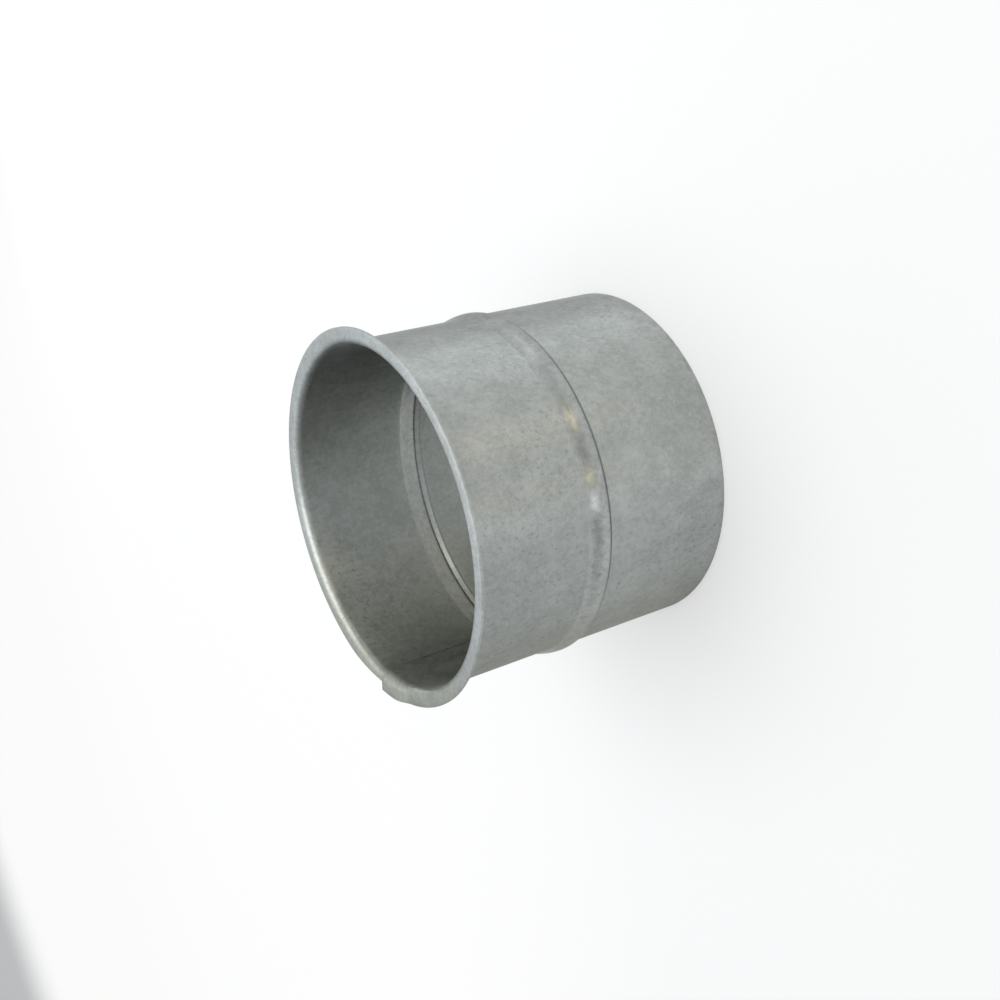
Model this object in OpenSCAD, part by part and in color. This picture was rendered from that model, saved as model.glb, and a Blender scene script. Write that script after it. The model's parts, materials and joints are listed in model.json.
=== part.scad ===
// Wall sleeve of rolled sheet metal: a short tube that is let into a wall and
// takes the end of a flue pipe. The two ends of the sheet lap and are spot
// welded, a stop bead runs round the tube, and its front end is turned out to a
// rim. The sleeve stands on its plain end: z = 0 there, the rim is up, and the
// seam lies on the -X side.

/* [Tube] */
// Inside diameter of the front tube, wide enough for a 120 mm flue pipe
bore_d = 122; // [100:0.5:200]
// Length from the plain end to the face of the rim
length = 106.5; // [95:0.5:200]
// Thickness of the sheet
sheet = 0.8; // [0.5:0.05:1.2]
// How much wider the tail behind the bead is than the front tube
tail_extra = 0.6; // [0:0.1:1.2]

/* [Rim] */
// Width of the rim beyond the outside of the tube
rim_w = 6.2; // [5:0.1:12]
// Tight radius of the bend from the tube into the rim
rim_bend = 3; // [1.5:0.1:4]

/* [Bead] */
// Distance from the face of the rim back to the crest of the bead
crest_back = 53.6; // [30:0.1:70]
// Height of the crest above the front tube
bead_h = 1.7; // [1.5:0.1:4]
// Slope of the long ramp on the front of the bead, in degrees
ramp_slope = 16.5; // [12:0.5:20]
// Tight radius of the soft bend at the foot of the ramp
foot_bend = 15; // [8:0.5:18]
// Tight radius of the rounded crest
crest_bend = 7.2; // [4:0.1:9]
// Slope of the steep wall on the back of the bead, in degrees
back_slope = 40; // [30:1:50]
// Tight radius of the shoulder behind the crest
shoulder_bend = 0.7; // [0.3:0.1:1.2]
// Tight radius of the sharp crease where the bead meets the tail
crease_bend = 0.5; // [0.3:0.1:1.2]

/* [Seam] */
// Width over which the two ends of the sheet lap
lap_w = 8; // [6:0.1:20]
// Width over which the outer end climbs before it reaches the inner one
climb_w = 10.8; // [6:0.1:30]
// How far the edge of the outer end stands out, just under one thickness
lap_lift = 0.72; // [0.3:0.01:0.75]
// Amount cut off the rim's edge where the inner end leaves the lap
corner_cut = 1.8; // [0.5:0.1:2.5]
// Width over which that cut runs out to the full rim
corner_w = 21; // [12:0.5:35]
// Width of the slit that shows on the rim between the two ends
slit_w = 0.35; // [0.2:0.05:0.8]
// Depth of that slit
slit_deep = 0.45; // [0.1:0.05:0.6]
// Diameter of the mark that each weld spot leaves
spot_d = 5; // [3:0.1:8]
// Depth of that mark
spot_deep = 0.12; // [0.05:0.01:0.3]
// Distance from one weld spot to the next
spot_pitch = 16; // [10:0.5:30]
// Distance from the last weld spot to the end of the tube
spot_margin = 7; // [6:0.5:12]

/* [Hidden] */
$fn = 180;

bore_r = bore_d / 2;
tube_r = bore_r + sheet;
tail_r = tube_r + tail_extra / 2;
crest_r = tube_r + bead_h;
rim_r = tube_r + rim_w;

// Heights of the middles of the bends, from the plain end up
crest_z = length - crest_back;
ramp_rise = bead_h - (crest_bend + foot_bend + sheet) * (1 - cos(ramp_slope));
ramp_run = (crest_bend + foot_bend + sheet) * sin(ramp_slope) + ramp_rise / tan(ramp_slope);
back_rise = crest_r - tail_r - (shoulder_bend + crease_bend + sheet) * (1 - cos(back_slope));
back_run = (shoulder_bend + crease_bend + sheet) * sin(back_slope) + back_rise / tan(back_slope);
crease_z = crest_z - back_run;
foot_z = crest_z + ramp_run;
rim_z = length - sheet - rim_bend;

// The bends of the sheet: the middle of each, the slope of the sheet before it,
// how far it turns outwards, and its tight radius
CREASE = [[tail_r + crease_bend, crease_z], 0, back_slope, crease_bend];
SHOULDER = [[crest_r - sheet - shoulder_bend, crest_z], back_slope, -back_slope, shoulder_bend];
CREST = [[crest_r - sheet - crest_bend, crest_z], 0, -ramp_slope, crest_bend];
FOOT = [[tube_r + foot_bend, foot_z], -ramp_slope, ramp_slope, foot_bend];
RIM = [[tube_r + rim_bend, rim_z], 0, 90, rim_bend];
BENDS = [CREASE, SHOULDER, CREST, FOOT, RIM];

// How far a rounding reaches past its straights, so that it surely meets them
bite = 0.002;
// How far a shape that is cut away or trimmed reaches past the metal
spare = 6;
// How far the cut at the rim's edge runs into the outer end, to leave it clean
clean_cut = 0.1;

// Angles round the tube, with the middle of the lap on the -X side
function round_tube(w) = w / tube_r * 180 / PI;
outer_edge = 180 - round_tube(lap_w) / 2;
inner_edge = 180 + round_tube(lap_w) / 2;
climb_start = inner_edge + round_tube(climb_w);
corner_start = outer_edge - round_tube(corner_w);

// The outer end is curved tighter than the tube, about a line moved towards its
// own edge, so it leaves the tube at climb_start and stands out by lap_lift
lapped_r = tube_r + lap_lift;
shift = (pow(lapped_r, 2) - pow(tube_r, 2))
    / (2 * (lapped_r - tube_r * cos(climb_start - outer_edge)));
end_middle = point_at(outer_edge, shift);
end_bend = lap_lift - shift;
// How much further forward the folds of the outer end lie than the tube's own
end_rise = 0.1;

// Where the slit between the two ends runs out at the edge of the rim
slit_edge = outer_edge + 1.5;

function point_at(a, r) = r * [cos(a), sin(a)];

// The radius of a bend at the outer face of the sheet, or at its inner face
function face_radius(bend, outer) = bend[3] + ((bend[2] > 0) == outer ? 0 : sheet);

// The sharp corner where the two straights beside a bend would meet
function corner(bend, outer) =
    let (half = bend[2] / 2, side = sign(bend[2]), far = face_radius(bend, outer) / cos(half))
    bend[0] + side * far * [-cos(bend[1] + half), sin(bend[1] + half)];

// What a bend's rounding adds to its corner, or takes off it
module rounding(bend, outer) {
    r = face_radius(bend, outer);
    side = sign(bend[2]);
    translate(bend[0])
        difference() {
            polygon([
                [0, 0],
                for (part = side > 0 ? [1, 0.5, 0] : [0, 0.5, 1])
                    let (a = bend[1] + part * bend[2])
                    1.4 * side * r / cos(part == 0.5 ? bend[2] / 2 : 0) * [-cos(a), sin(a)]
            ]);
            circle(r = r + bite);
        }
}

// The half section from inside the bore out to one face of the sheet
module half_section(outer) {
    r_low = bore_r - (outer ? spare : 2 * spare);
    top = length + (outer ? spare : 2 * spare);
    low = outer ? 0 : -spare;
    edge_r = rim_r + (outer ? 0 : spare);
    difference() {
        union() {
            polygon([
                [r_low, low],
                [corner(CREASE, outer)[0], low],
                for (bend = BENDS) corner(bend, outer),
                [edge_r, corner(RIM, outer)[1]],
                [edge_r, top],
                [r_low, top]
            ]);
            for (bend = BENDS)
                if (bend[2] > 0)
                    rounding(bend, outer);
        }
        for (bend = BENDS)
            if (bend[2] < 0)
                rounding(bend, outer);
    }
}

// One face of the round tube, filled towards the axis
module tube_face(outer) {
    rotate_extrude()
        half_section(outer);
}

// The direction from the middle of the outer end's curve to angle a on the tube
function end_turn(a) =
    let (away = a - outer_edge)
    outer_edge + atan2(tube_r * sin(away), tube_r * cos(away) - shift);

// The same face of the outer end, filled, from angle a to past where it starts
module end_face(outer, a) {
    translate(end_middle)
        rotate([0, 0, end_turn(a)])
            rotate_extrude(angle = end_turn(climb_start) + spare - end_turn(a))
                translate([end_bend, end_rise])
                    half_section(outer);
}

// The strip that is cut off the rim's edge, wider as it nears the outer end
module corner_off() {
    reach = 2 * rim_r;
    translate([0, 0, length - 2 * sheet])
        linear_extrude(3 * sheet)
            difference() {
                polygon([
                    [0, 0],
                    point_at(corner_start - spare, reach),
                    point_at(outer_edge + round_tube(clean_cut), reach)
                ]);
                translate(point_at(corner_start - 90, corner_cut / sin(outer_edge - corner_start)))
                    circle(r = rim_r);
            }
}

// The slit on the face of the rim, from the lip of the bore to the rim's edge
module rim_slit() {
    from = point_at(inner_edge, bore_r);
    to = point_at(slit_edge, rim_r + spare);
    way = to - from;
    translate([from[0], from[1], length - slit_deep])
        rotate([0, 0, atan2(way[1], way[0])])
            translate([0, -slit_w / 2, 0])
                cube([norm(way), slit_w, 2 * sheet]);
}

// The radius of the outer end's outer face at angle a, over a tube of radius r
function end_radius(a, r) =
    let (away = a - outer_edge)
    shift * cos(away) + sqrt(pow(r + end_bend, 2) - pow(shift * sin(away), 2));

// The flat marks of one weld spot, on the outer and the inner face of the lap
module spot_mark(z, outside, inside) {
    rotate([0, 0, 180])
        for (x = [end_radius(180, outside) - spot_deep, inside + spot_deep - spare])
            translate([x, 0, z])
                rotate([0, 90, 0])
                    cylinder(d = spot_d, h = spare);
}

module spot_marks() {
    for (z = [length - spot_margin : -spot_pitch : foot_z + spot_d])
        spot_mark(z, tube_r, bore_r);
    for (z = [spot_margin : spot_pitch : crease_z - spot_d])
        spot_mark(z, tail_r, tail_r - sheet);
}

module sleeve() {
    color("silver")
        difference() {
            union() {
                tube_face(true);
                end_face(true, outer_edge);
            }
            tube_face(false);
            end_face(false, inner_edge);
            corner_off();
            rim_slit();
            spot_marks();
        }
}

sleeve();
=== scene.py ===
"""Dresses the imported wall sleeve: its lapped sheet, the galvanised finish and the studio."""

import json
import math

import bpy
from mathutils import Matrix, Vector


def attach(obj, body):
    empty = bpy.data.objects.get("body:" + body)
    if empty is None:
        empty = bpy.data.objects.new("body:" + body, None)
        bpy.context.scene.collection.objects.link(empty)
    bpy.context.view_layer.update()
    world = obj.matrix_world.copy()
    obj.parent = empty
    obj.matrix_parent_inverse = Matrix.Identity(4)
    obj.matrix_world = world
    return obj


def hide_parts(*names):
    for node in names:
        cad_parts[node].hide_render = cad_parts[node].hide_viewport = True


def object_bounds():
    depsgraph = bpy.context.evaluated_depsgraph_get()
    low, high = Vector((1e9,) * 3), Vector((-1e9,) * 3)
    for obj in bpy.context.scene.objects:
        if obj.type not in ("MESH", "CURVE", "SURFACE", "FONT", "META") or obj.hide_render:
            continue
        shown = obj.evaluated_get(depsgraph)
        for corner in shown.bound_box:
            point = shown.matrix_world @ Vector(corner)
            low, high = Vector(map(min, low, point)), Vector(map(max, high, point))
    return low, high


bl_info = {
    "name": "Wall sleeve",
    "version": (1, 0, 0),
    "blender": (4, 5, 0),
    "location": "View3D > Sidebar > Sleeve",
    "description": "Builds a lapped sheet metal wall sleeve and its studio",
    "category": "Object",
}

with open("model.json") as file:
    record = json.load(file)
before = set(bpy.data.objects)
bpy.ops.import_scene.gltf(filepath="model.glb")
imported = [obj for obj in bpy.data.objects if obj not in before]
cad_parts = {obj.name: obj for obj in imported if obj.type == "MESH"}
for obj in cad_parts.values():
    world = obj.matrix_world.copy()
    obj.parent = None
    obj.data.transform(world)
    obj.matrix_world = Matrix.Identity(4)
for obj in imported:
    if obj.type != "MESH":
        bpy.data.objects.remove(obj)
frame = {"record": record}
CAD_LOW, CAD_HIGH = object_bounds()
MM = 0.001
HEIGHT = CAD_HIGH.z - CAD_LOW.z
BORE = next(
    m["dims"]["r_mm"] * MM for m in frame["record"]["mounts"] if m["name"] == "flue_bore"
)
TAIL_BORE = next(
    m["dims"]["r_mm"] * MM for m in frame["record"]["mounts"] if m["name"] == "tail_bore"
)
RIM = CAD_HIGH.x


# Sizes and colours that a user would change


def length(name, description, default, soft_max=1.0):
    return bpy.props.FloatProperty(
        name=name,
        description=description,
        default=default,
        min=0.0,
        soft_max=soft_max,
        unit="LENGTH",
        precision=5,
    )


def slope(name, description, degrees):
    return bpy.props.FloatProperty(
        name=name,
        description=description,
        default=math.radians(degrees),
        unit="ROTATION",
    )


def share(name, description, default):
    return bpy.props.FloatProperty(
        name=name, description=description, default=default, min=0.0, max=1.0
    )


def colour(name, description, default):
    return bpy.props.FloatVectorProperty(
        name=name, description=description, default=default, size=3, subtype="COLOR"
    )


class SheetSizes(bpy.types.PropertyGroup):
    bore: length("Bore", "Inner radius of the front tube", BORE)
    tail_bore: length("Tail bore", "Inner radius of the rear tube", TAIL_BORE)
    height: length("Height", "From the plain end to the face of the rim", HEIGHT)
    sheet: length("Sheet", "Thickness of the sheet", 0.8 * MM)
    rim: length("Rim", "Outer radius of the rim", RIM)
    rim_bend: length("Rim bend", "Tight radius of the bend into the rim", 3 * MM)
    crest_back: length("Crest back", "From the rim's face to the bead's crest", 53.6 * MM)
    bead: length("Bead", "Height of the bead above the front tube", 1.7 * MM)
    ramp: slope("Ramp", "Slope of the bead's front", 16.5)
    foot_bend: length("Foot bend", "Tight radius at the foot of the ramp", 15 * MM)
    crest_bend: length("Crest bend", "Tight radius of the crest", 7.2 * MM)
    back: slope("Back", "Slope of the bead's rear wall", 40)
    shoulder_bend: length("Shoulder", "Tight radius behind the crest", 0.7 * MM)
    crease_bend: length("Crease", "Tight radius of the crease at the tail", 0.5 * MM)


class SeamSizes(bpy.types.PropertyGroup):
    lap: length("Lap", "Width over which the two ends lap", 8 * MM)
    climb: length("Climb", "Width over which the outer end climbs", 10.8 * MM)
    gap: length("Gap", "Air between the two ends", 0.06 * MM)
    corner_cut: length("Corner cut", "Amount cut off the inner end's rim", 1.8 * MM)
    corner: length("Corner", "Width over which that cut runs out", 21 * MM)
    lip_cut: length("Lip cut", "Rim left at the inner end's corner", 0.6 * MM)
    spot: length("Spot", "Radius of a weld spot", 2.3 * MM)
    pitch: length("Pitch", "From one weld spot to the next", 16 * MM)
    margin: length("Margin", "From the last weld spot to the face of the rim", 7 * MM)


class ZincLooks(bpy.types.PropertyGroup):
    zinc: colour("Zinc", "Colour of the dull sheet", (0.40, 0.42, 0.405))
    bright: colour("Bright", "Colour of the bright grains", (0.515, 0.54, 0.525))
    tarnish: colour("Tarnish", "Colour of the dark grains", (0.375, 0.393, 0.378))
    speck: colour("Speck", "Colour of the dark specks", (0.25, 0.265, 0.25))
    # painted shade: darkens the whole bead, for the darker surroundings that the burnished bead
    # reflects
    rolled: colour("Painted_bead_shade", "Tint of the rolled bead", (0.82, 0.82, 0.82))
    # painted shade over the −X side, by the seam: darkens and warms the sheet there
    painted_seam_shade: colour("Painted_shade", "Tint of the film by the seam", (0.84, 0.82, 0.74))
    roughness: share("Roughness", "Roughness of the dull sheet", 0.46)
    burnish: share("Burnish", "Roughness of the rolled bead", 0.25)


class StudioLooks(bpy.types.PropertyGroup):
    floor: colour("Floor", "Colour of the floor", (0.9, 0.9, 0.9))
    white: share("White", "Share of plain white in the floor as it is seen", 0.5)
    world: share("World", "Strength of the light from all round", 0.36)
    lens: bpy.props.FloatProperty(
        name="Lens", description="Focal length in millimetres", default=46.32, min=1.0
    )
    camera_spot: bpy.props.FloatVectorProperty(
        name="Camera",
        description="Where the camera stands",
        default=(0.1651, -0.3747, 0.2957),
        size=3,
        unit="LENGTH",
    )
    camera_turn: slope("Camera turn", "Direction from the object to the camera", -65.51)
    camera_rise: slope("Camera rise", "Height of that direction over the floor", 30.48)
    camera_roll: slope("Camera roll", "Turn of the picture about its middle", -105.93)


# Modelling helpers


def deselect_all():
    for thing in bpy.context.selected_objects:
        thing.select_set(False)


def weigh(thing, name, weights):
    """Adds a vertex group with one weight for each vertex."""
    group = thing.vertex_groups.new(name=name)
    for index, weight in enumerate(weights):
        group.add([index], weight, "REPLACE")
    return name


def finish_with(thing, kind, **settings):
    """Adds a modifier with these settings and applies it."""
    modifier = thing.modifiers.new(kind.title(), kind)
    for name, value in settings.items():
        setattr(modifier, name, value)
    bpy.ops.object.modifier_apply(modifier=modifier.name)


def ease(x):
    """0 before 0, 1 after 1, and a soft S between."""
    x = min(max(x, 0.0), 1.0)
    return x * x * (3 - 2 * x)


# The section of the sheet

FINE = math.radians(6)  # turn of a bend between two of its points


class Section:
    """The outer face of the sheet in section, from the plain end up to the rim's edge."""

    def __init__(self, s):
        self.wall = s.bore + s.sheet
        self.tail = s.tail_bore + s.sheet
        crest = self.wall + s.bead
        soft = s.crest_bend + s.foot_bend + s.sheet
        sharp = s.shoulder_bend + s.crease_bend + s.sheet
        ramp_rise = s.bead - soft * (1 - math.cos(s.ramp))
        back_rise = crest - self.tail - sharp * (1 - math.cos(s.back))
        self.crest_z = s.height - s.crest_back
        self.crease_z = self.crest_z - sharp * math.sin(s.back) - back_rise / math.tan(s.back)
        self.foot_z = self.crest_z + soft * math.sin(s.ramp) + ramp_rise / math.tan(s.ramp)
        self.rim_z = s.height - s.sheet - s.rim_bend
        flat = s.sheet
        # middle of each bend, slope before it, turn outwards, radius of the outer face
        self.bends = [
            ((self.tail + s.crease_bend, self.crease_z), 0, s.back, s.crease_bend),
            ((crest - flat - s.shoulder_bend, self.crest_z), s.back, -s.back, s.shoulder_bend + flat),
            ((crest - flat - s.crest_bend, self.crest_z), 0, -s.ramp, s.crest_bend + flat),
            ((self.wall + s.foot_bend, self.foot_z), -s.ramp, s.ramp, s.foot_bend),
            ((self.wall + s.rim_bend, self.rim_z), 0, math.pi / 2, s.rim_bend),
        ]

    def points(self, rim, step):
        """The corners of the section, with straight stretches cut into steps."""
        found = [Vector((self.tail, 0, 0))]
        for (r, z), start, turn, radius in self.bends:
            side = math.copysign(1, turn)
            parts = max(3, math.ceil(abs(turn) / FINE))
            for i in range(parts + 1):
                a = start + turn * i / parts
                found.append(
                    Vector((r - side * radius * math.cos(a), 0, z + side * radius * math.sin(a)))
                )
        found.append(Vector((rim, 0, found[-1].z)))
        cut = found[:1]
        for point in found[1:]:
            run = point - cut[-1]
            if run.length < 1e-7:
                continue
            pieces = max(1, math.ceil(run.length / step))
            cut += [cut[-1] + run * (i / pieces) for i in range(1, pieces)] + [point]
        return cut


# Shader expressions


class Flow:
    """A socket that takes part in sums, with nodes added for each step."""

    def __init__(self, tree, socket=None):
        self.tree = tree
        self.socket = socket

    def node(self, kind, settings=None, inputs=None, out=0):
        node = self.tree.nodes.new(kind)
        for name, value in (settings or {}).items():
            if name == "stops":
                ramp = node.color_ramp
                while len(ramp.elements) < len(value):
                    ramp.elements.new(0.5)
                for element, (place, shade) in zip(ramp.elements, value):
                    element.position = place
                    element.color = (*shade, 1) if isinstance(shade, tuple) else (shade,) * 3 + (1,)
            else:
                setattr(node, name, value)
        for name, value in (inputs or {}).items():
            socket = node.inputs[name]
            if isinstance(value, Flow):
                self.tree.links.new(value.socket, socket)
            elif isinstance(value, tuple) and len(socket.default_value) == 4:
                socket.default_value = (*value, 1)
            else:
                socket.default_value = value
        return None if out is None else Flow(self.tree, node.outputs[out])

    def math(self, operation, *values):
        return self.node("ShaderNodeMath", {"operation": operation}, dict(enumerate(values)))

    def vector(self, operation, *values, out=0):
        return self.node(
            "ShaderNodeVectorMath", {"operation": operation}, dict(enumerate(values)), out
        )

    def __add__(self, other):
        return self.math("ADD", self, other)

    __radd__ = __add__

    def __sub__(self, other):
        return self.math("SUBTRACT", self, other)

    def __rsub__(self, other):
        return self.math("SUBTRACT", other, self)

    def __mul__(self, other):
        return self.math("MULTIPLY", self, other)

    __rmul__ = __mul__

    def __truediv__(self, other):
        return self.math("DIVIDE", self, other)

    def within(self, low, high):
        """0 below low, 1 above high, soft between; the ends may be swapped."""
        return self.node(
            "ShaderNodeMapRange",
            {"interpolation_type": "SMOOTHSTEP"},
            {"Value": self, "From Min": low, "From Max": high, "To Min": 0.0, "To Max": 1.0},
        )

    def band(self, low, high, soft):
        """1 between low and high, 0 outside, soft at both ends."""
        return self.within(low - soft, low + soft) * (1 - self.within(high - soft, high + soft))

    def blend(self, other, amount, how="MIX"):
        """Mixes this colour with another by an amount."""
        return self.node(
            "ShaderNodeMix",
            {"data_type": "RGBA", "blend_type": how},
            {0: amount, 6: self, 7: other},
            out=2,
        )


def material(name):
    """A new material and the start of its shader expressions."""
    made = bpy.data.materials.new(name)
    made.use_nodes = True
    made.node_tree.nodes.clear()
    return made, Flow(made.node_tree)


def galvanised(looks, sheet, seam, section):
    """Dull zinc with a fine mottle, burnished on the bead; painted shade darkens the bead and the
    seam side.
    """
    made, start = material("galvanised_sheet")
    place = start.node("ShaderNodeTexCoord", out=3)
    across = start.node("ShaderNodeSeparateXYZ", inputs={0: place})
    z = Flow(start.tree, across.socket.node.outputs[2])

    def noise(scale, detail=3.0, rough=0.55, vector=place, seed=0.0, distortion=0.0):
        return start.node(
            "ShaderNodeTexNoise",
            {"noise_dimensions": "4D"},
            {
                "Vector": vector,
                "W": seed,
                "Scale": scale,
                "Detail": detail,
                "Roughness": rough,
                "Distortion": distortion,
            },
        )

    # the sheet's own pattern: soft clouds, fine mottle and grain, and small specks
    drawn = place.vector("MULTIPLY", place, (1.0, 1.0, 0.8))
    cloud = noise(28, 3, 0.6, seed=1.0)
    patch = noise(130, 2, 0.5, vector=drawn, seed=5.0)
    mottle = noise(520, 3, 0.6, vector=drawn, seed=2.0)
    grain = noise(1500, 2, 0.6, vector=drawn, seed=3.0)
    tone = (cloud * 0.2 + patch * 0.2 + mottle * 0.35 + grain * 0.25).within(0.38, 0.62)
    shade = start.node(
        "ShaderNodeMix",
        {"data_type": "RGBA"},
        {0: tone, 6: tuple(looks.tarnish), 7: tuple(looks.bright)},
        out=2,
    )
    speckled = noise(18, 2, 0.5, seed=6.0).within(0.35, 0.65)
    speck = noise(700, 2, 0.55, vector=drawn, seed=4.0).within(0.56, 0.68)
    shade = shade.blend(tuple(looks.speck), speck * (0.12 + speckled * 0.4))

    # painted shade: a warm darkening that grows over the −X side, where the seam lies, standing in
    # for shade on that side
    east = start.node("ShaderNodeSeparateXYZ", inputs={0: place}, out="X")
    painted_seam_shade = (east / -sheet.bore + (cloud - 0.5) * 0.5).within(0.25, 1.0)
    shade = shade.blend(tuple(looks.painted_seam_shade), painted_seam_shade, how="MULTIPLY")

    bead = z.band(section.crease_z, section.foot_z - 2 * MM, 0.8 * MM)
    rim = z.within(section.rim_z + 0.5 * MM, section.rim_z + 2.5 * MM)
    # painted shade: the whole bead is darkened, for the darker surroundings it reflects; its burnish
    # is the lower roughness below
    shade = shade.blend(tuple(looks.rolled), bead, how="MULTIPLY")
    bump = start.node(
        "ShaderNodeBump",
        inputs={
            "Strength": 1.0,
            "Distance": 1.0,
            "Height": cloud * 0.00006 + patch * 0.000006 + mottle * 0.000002,
        },
    )

    def metal(roughness, drawn_out):
        return start.node(
            "ShaderNodeBsdfPrincipled",
            inputs={
                "Base Color": shade,
                "Metallic": 1.0,
                "Roughness": roughness,
                "Specular Tint": (0.6, 0.6, 0.6),
                "Anisotropic": drawn_out,
                "Anisotropic Rotation": 0.25,
                "Normal": bump,
            },
        )

    dull = looks.roughness + (mottle - 0.5) * 0.16 + (grain - 0.5) * 0.1
    worked = looks.burnish + rim * (looks.roughness - looks.burnish) + (grain - 0.5) * 0.08
    both = start.node(
        "ShaderNodeMixShader",
        inputs={0: bead.math("MAXIMUM", bead, rim), 1: metal(dull, 0.8), 2: metal(worked, 0.3)},
    )
    start.node("ShaderNodeOutputMaterial", inputs={"Surface": both}, out=None)
    return made


# Operators


class SLEEVE_OT_sheet(bpy.types.Operator):
    """Roll the sheet of the sleeve, with its rim, bead and lapped ends"""

    bl_idname = "sleeve.sheet"
    bl_label = "Roll the sheet"

    def execute(self, context):
        sheet = context.scene.sleeve_sheet
        seam = context.scene.sleeve_seam
        section = Section(sheet)

        half_lap = seam.lap / 2 / section.wall
        outer_edge = math.pi - half_lap
        inner_edge = math.pi + half_lap
        climb_end = inner_edge + seam.climb / section.wall
        corner_start = outer_edge - seam.corner / section.wall
        sweep = 2 * math.pi + 2 * half_lap
        steps = 300

        # the section, drawn where the outer end is cut off
        deselect_all()
        bpy.ops.mesh.primitive_plane_add(size=sheet.sheet, location=(0, 0, 0))
        made = context.active_object
        made.name = made.data.name = "rolled_sheet"
        bpy.ops.object.mode_set(mode="EDIT")
        bpy.ops.mesh.merge(type="CENTER")
        to_seam = Matrix.Rotation(outer_edge, 3, "Z")
        points = [to_seam @ p for p in section.points(sheet.rim, 2.5 * MM)]
        bpy.ops.transform.translate(value=points[0])
        for before, after in zip(points, points[1:]):
            bpy.ops.mesh.extrude_region_move(TRANSFORM_OT_translate={"value": after - before})

        # spun past a whole turn, so that the two ends lap
        bpy.ops.mesh.select_all(action="SELECT")
        bpy.ops.mesh.spin(
            steps=steps, angle=sweep, center=(0, 0, 0), axis=(0, 0, -1), use_auto_merge=False
        )
        bpy.ops.mesh.select_all(action="SELECT")
        bpy.ops.mesh.normals_make_consistent(inside=False)
        bpy.ops.object.mode_set(mode="OBJECT")

        # how far along the sheet and out over the rim each vertex lies
        row = len(points)
        vertices = made.data.vertices
        along = [outer_edge + sweep * (v.index // row) / steps for v in vertices]
        radius = [math.hypot(v.co.x, v.co.y) for v in vertices]
        flange_start = section.wall + sheet.rim_bend
        out_over = [max(0.0, (r - flange_start) / (sheet.rim - flange_start)) for r in radius]
        lifted = [1 - ease((a - inner_edge) / (climb_end - inner_edge)) for a in along]
        turn = 2 * math.pi
        trimmed = [
            max(0.0, (a - turn - corner_start) / (outer_edge - corner_start)) for a in along
        ]
        lift = sheet.sheet + seam.gap
        finish_with(
            made,
            "DISPLACE",
            direction="X",
            mid_level=0,
            strength=seam.corner_cut,
            vertex_group=weigh(made, "trimmed", [t * o for t, o in zip(trimmed, out_over)]),
        )
        finish_with(
            made,
            "DISPLACE",
            direction="X",
            mid_level=0,
            strength=-lift,
            vertex_group=weigh(made, "pushed_out", [w * o for w, o in zip(lifted, out_over)]),
        )
        finish_with(
            made,
            "DISPLACE",
            direction="NORMAL",
            mid_level=0,
            strength=lift,
            vertex_group=weigh(made, "outer_end", lifted),
        )

        # the slanting cut across the rim's corner at the inner end
        for part in (*made.data.vertices, *made.data.edges, *made.data.polygons):
            part.select = False
        for face in made.data.polygons:
            near_end = all(along[i] > turn + outer_edge - half_lap for i in face.vertices)
            face.select = near_end and all(
                vertices[i].co.z > section.rim_z - MM for i in face.vertices
            )
        lip = Vector((math.cos(inner_edge), math.sin(inner_edge), 0)) * (section.wall - 0.5 * MM)
        edge = Vector((math.cos(outer_edge), math.sin(outer_edge), 0)) * (
            sheet.rim - seam.corner_cut
        )
        bpy.ops.object.mode_set(mode="EDIT")
        bpy.ops.mesh.bisect(
            plane_co=lip, plane_no=(edge - lip).cross(Vector((0, 0, 1))), clear_outer=True
        )
        bpy.ops.object.mode_set(mode="OBJECT")

        finish_with(
            made,
            "SOLIDIFY",
            thickness=sheet.sheet,
            offset=-1,
            use_even_offset=True,
            use_quality_normals=True,
        )
        finish_with(
            made, "BEVEL", width=0.12 * MM, segments=2, limit_method="ANGLE", angle_limit=1.0
        )
        bpy.ops.object.shade_smooth_by_angle(angle=math.radians(35))

        made.data.materials.clear()
        made.data.materials.append(
            galvanised(context.scene.sleeve_zinc, sheet, seam, section)
        )
        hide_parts("sleeve")
        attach(made, "root")
        print("TRIS", sum(len(p.vertices) - 2 for p in made.data.polygons))
        return {"FINISHED"}


# name, direction, rise over the horizon, distance, height that it is aimed at,
# width, height, colour, radiance, and the angle that its beam spreads over
LAMPS = (
    ("overhead", 20, 78, 0.8, 0.05, 0.7, 0.7, (1.0, 1.0, 1.0), 2.5, 180),
    ("back", 114, 36, 1.0, 0.05, 1.1, 0.7, (0.94, 1.0, 1.1), 0.7, 180),
    ("edge", 84, 10, 0.9, 0.05, 0.3, 0.2, (0.97, 1.0, 1.02), 3.0, 180),
    ("window", 16, 3, 0.9, 0.05, 0.5, 0.2, (0.93, 1.0, 1.0), 2.6, 180),
    ("front_glow", -4, 4, 0.9, 0.09, 0.4, 0.14, (0.97, 1.0, 1.0), 4.0, 6),
    ("warm_glow", -42, 4, 0.9, 0.1, 0.08, 0.12, (1.0, 0.8, 0.4), 34.0, 6),
    ("warm_bulb", -38, 4, 0.9, 0.05, 0.08, 0.12, (1.0, 0.8, 0.4), 3.4, 180),
    ("warm_strip", -74, 4, 0.9, 0.05, 0.07, 0.14, (1.0, 0.84, 0.42), 4.5, 180),
    ("cool_strip", -89, 4, 0.9, 0.05, 0.12, 0.16, (0.95, 0.93, 1.0), 4.2, 180),
)


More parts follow.
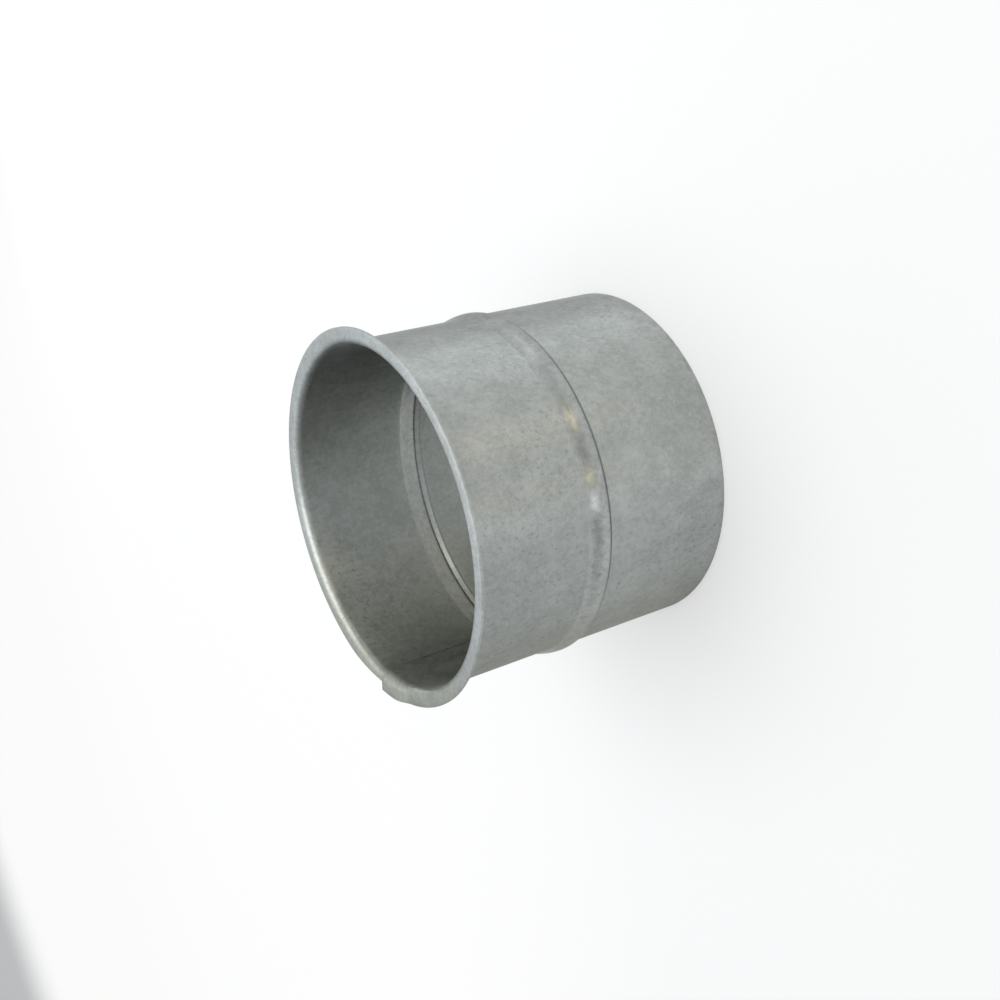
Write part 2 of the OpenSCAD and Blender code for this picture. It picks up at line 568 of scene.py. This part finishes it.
class SLEEVE_OT_studio(bpy.types.Operator):
    """Set the floor, the lamps, the world and the camera"""

    bl_idname = "sleeve.studio"
    bl_label = "Set the studio"

    def execute(self, context):
        looks = context.scene.sleeve_studio
        scene = context.scene
        scene.view_settings.view_transform = "Standard"

        deselect_all()
        bpy.ops.mesh.primitive_plane_add(size=8.0, location=(0, 0, 0))
        floor = context.active_object
        floor.name = floor.data.name = "floor"
        made, start = material("studio_floor")
        lit = start.node("ShaderNodeBsdfDiffuse", inputs={"Color": tuple(looks.floor)})
        white = start.node("ShaderNodeEmission", inputs={"Strength": 1.0})
        seen = start.node("ShaderNodeLightPath", out="Is Camera Ray")
        for kind in ("Is Glossy Ray", "Is Transmission Ray"):
            seen = seen.math("MAXIMUM", seen, start.node("ShaderNodeLightPath", out=kind))
        place = start.node("ShaderNodeTexCoord", out="Object")
        near = place.vector("DISTANCE", place, (0.0, 0.0, 0.0), out="Value").within(0.8, 0.3)
        far = place.vector("DISTANCE", place, (-0.55, 1.1, 0.0), out="Value").within(1.5, 0.9)
        inside = place.vector("LENGTH", place, out="Value").within(0.066, 0.058)
        near = near * (looks.white - inside * 0.25)
        pool = near.math("MAXIMUM", near, far * 0.92 * (1 - inside))
        both = start.node(
            "ShaderNodeMixShader", inputs={0: seen * pool, 1: lit, 2: white}
        )
        start.node("ShaderNodeOutputMaterial", inputs={"Surface": both}, out=None)
        floor.data.materials.append(made)

        world = bpy.data.worlds.new("studio")
        scene.world = world
        world.use_nodes = True
        world.node_tree.nodes.clear()
        sky = Flow(world.node_tree)
        way = sky.node("ShaderNodeTexCoord", out="Generated")
        east = sky.node("ShaderNodeSeparateXYZ", inputs={0: way}, out="X")
        up = sky.node("ShaderNodeSeparateXYZ", inputs={0: way}, out="Z")
        light = sky.node(
            "ShaderNodeBackground",
            inputs={"Color": (0.98, 1, 1.01), "Strength": looks.world + east * 0.2 + up * 0.3},
        )
        sky.node("ShaderNodeOutputWorld", inputs={"Surface": light}, out=None)

        for name, turn, rise, away, aim, width, height, shade, power, beam in LAMPS:
            data = bpy.data.lights.new(name, "AREA")
            data.shape = "RECTANGLE"
            data.size = width
            data.size_y = height
            data.color = shade
            data.energy = power * math.pi * width * height
            if beam < 180:
                half = math.radians(beam) / 2
                data.spread = 2 * half
                data.energy *= 1 - half / math.tan(half)
            lamp = bpy.data.objects.new(name, data)
            scene.collection.objects.link(lamp)
            t, e = math.radians(turn), math.radians(rise)
            way = Vector((math.cos(t) * math.cos(e), math.sin(t) * math.cos(e), math.sin(e)))
            faced = way.to_track_quat("Z", "Y").to_matrix().to_4x4()
            lamp.matrix_world = Matrix.Translation(Vector((0, 0, aim)) + way * away) @ faced
            lamp.visible_camera = False

        camera_data = bpy.data.cameras.new("camera")
        camera_data.lens = looks.lens
        camera = bpy.data.objects.new("camera", camera_data)
        scene.collection.objects.link(camera)
        scene.camera = camera
        flat = math.cos(looks.camera_rise)
        back = Vector(
            (
                math.cos(looks.camera_turn) * flat,
                math.sin(looks.camera_turn) * flat,
                math.sin(looks.camera_rise),
            )
        )
        level = (-back).to_track_quat("-Z", "Y").to_matrix()
        rolled = level @ Matrix.Rotation(looks.camera_roll, 3, "Z")
        camera.matrix_world = Matrix.Translation(looks.camera_spot) @ rolled.to_4x4()
        return {"FINISHED"}


class SLEEVE_PT_panel(bpy.types.Panel):
    """The sleeve's sizes, colours and steps"""

    bl_idname = "SLEEVE_PT_panel"
    bl_label = "Wall sleeve"
    bl_space_type = "VIEW_3D"
    bl_region_type = "UI"
    bl_category = "Sleeve"

    def draw(self, context):
        for group in GROUPS:
            box = self.layout.box()
            settings = getattr(context.scene, group)
            for name in settings.__annotations__:
                box.prop(settings, name)
        self.layout.operator(SLEEVE_OT_sheet.bl_idname)
        self.layout.operator(SLEEVE_OT_studio.bl_idname)


GROUPS = {
    "sleeve_sheet": SheetSizes,
    "sleeve_seam": SeamSizes,
    "sleeve_zinc": ZincLooks,
    "sleeve_studio": StudioLooks,
}
CLASSES = (*GROUPS.values(), SLEEVE_OT_sheet, SLEEVE_OT_studio, SLEEVE_PT_panel)


def register():
    for made in CLASSES:
        bpy.utils.register_class(made)
    for name, group in GROUPS.items():
        setattr(bpy.types.Scene, name, bpy.props.PointerProperty(type=group))


def unregister():
    for name in GROUPS:
        delattr(bpy.types.Scene, name)
    for made in reversed(CLASSES):
        bpy.utils.unregister_class(made)


def main():
    register()
    bpy.ops.sleeve.sheet()
    bpy.ops.sleeve.studio()


if __name__ == "__main__":
    main()
